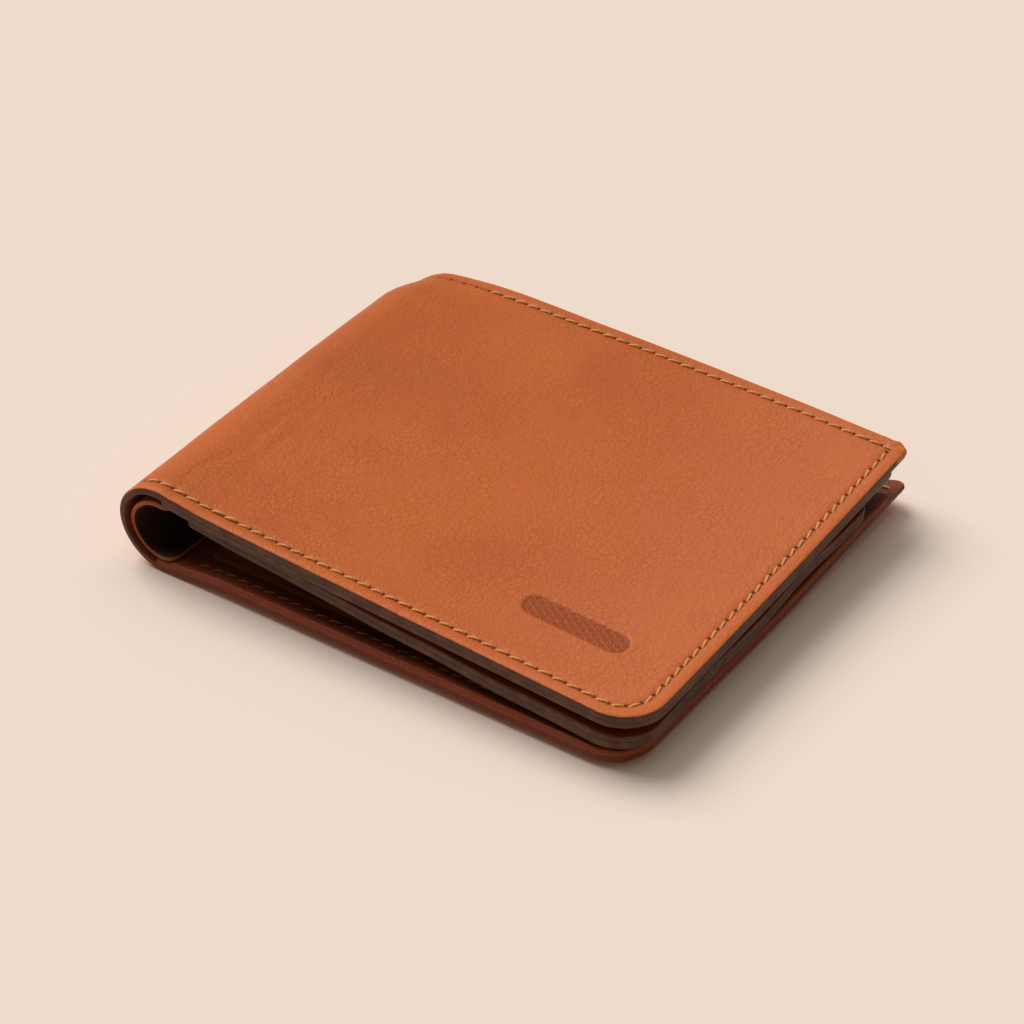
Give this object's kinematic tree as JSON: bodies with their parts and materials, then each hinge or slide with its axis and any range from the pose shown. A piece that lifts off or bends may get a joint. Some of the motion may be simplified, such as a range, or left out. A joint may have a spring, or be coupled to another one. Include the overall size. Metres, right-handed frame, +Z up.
{
  "type": "trifold wallet",
  "caption": "Folding leather wallet with two covers, a hinged centre leaf with window, card slots and a note compartment.",
  "frame": {"origin": "centre of the bounding box's base: the wallet lies closed on its back cover", "axes": "+X from the spine to the free edges, +Y from the sewn near edge to the note opening, +Z up through the covers"},
  "size_m": [0.114, 0.0944, 0.0177],
  "materials": {
    "shell_leather": "tan milled leather with painted edges",
    "inner_leather": "smooth tan leather with painted edges",
    "lining_cloth": "dark woven lining",
    "thread": "waxed twisted thread",
    "window_film": "clear film"
  },
  "bodies": {
    "back_cover": {"back_card_slot_1": "inner_leather", "back_card_slot_2": "inner_leather", "back_card_slot_3": "inner_leather", "back_inner_panel": "inner_leather", "back_inner_thread": "thread", "back_lining": "lining_cloth", "back_outer_thread": "thread", "back_pocket_lining": "lining_cloth", "back_shell": "shell_leather", "back_strip_lap": "inner_leather"},
    "spine_slice_1": {"spine_leather_1": "shell_leather", "spine_lining_1": "lining_cloth", "spine_strip_1": "inner_leather"},
    "spine_slice_2": {"spine_leather_2": "shell_leather", "spine_lining_2": "lining_cloth", "spine_strip_2": "inner_leather"},
    "spine_slice_3": {"spine_leather_3": "shell_leather", "spine_lining_3": "lining_cloth", "spine_strip_3": "inner_leather"},
    "front_cover": {"front_card_slot_1": "inner_leather", "front_card_slot_2": "inner_leather", "front_inner_panel": "inner_leather", "front_inner_thread": "thread", "front_lining": "lining_cloth", "front_outer_thread": "thread", "front_pocket_lining": "lining_cloth", "front_shell": "shell_leather", "front_strip_lap": "inner_leather", "leaf_hinge_strip": "inner_leather"},
    "centre_leaf": {"leaf_back": "inner_leather", "leaf_back_thread": "thread", "leaf_card_slot_1": "inner_leather", "leaf_card_slot_2": "inner_leather", "leaf_window": "window_film", "leaf_window_frame": "inner_leather", "leaf_window_thread": "thread"}
  },
  "joints": [
    {"name": "spine_fold_1", "type": "hinge", "parent": "back_cover", "child": "spine_slice_1", "pos_m": [-0.05182, 0, 0], "axis": [0, -1, 0], "range_deg": [0, 45.6]},
    {"name": "spine_fold_2", "type": "hinge", "parent": "spine_slice_1", "child": "spine_slice_2", "pos_m": [-0.057, 0, 0.00529], "axis": [0, -1, 0], "range_deg": [0, 45.6]},
    {"name": "spine_fold_3", "type": "hinge", "parent": "spine_slice_2", "child": "spine_slice_3", "pos_m": [-0.05685, 0, 0.01268], "axis": [0, -1, 0], "range_deg": [0, 45.6]},
    {"name": "spine_fold_4", "type": "hinge", "parent": "spine_slice_3", "child": "front_cover", "pos_m": [-0.05145, 0, 0.01775], "axis": [0, -1, 0], "range_deg": [0, 45.6]},
    {"name": "leaf_fold", "type": "hinge", "parent": "front_cover", "child": "centre_leaf", "pos_m": [-0.04443, 0, 0.01335], "axis": [0, -1, 0], "range_deg": [-91.2, 0]}
  ],
  "couplings": [
    {"joint": "spine_fold_2", "follows": "spine_fold_1", "ratio": 1},
    {"joint": "spine_fold_3", "follows": "spine_fold_1", "ratio": 1},
    {"joint": "spine_fold_4", "follows": "spine_fold_1", "ratio": 1},
    {"joint": "leaf_fold", "follows": "spine_fold_1", "ratio": -2}
  ]
}
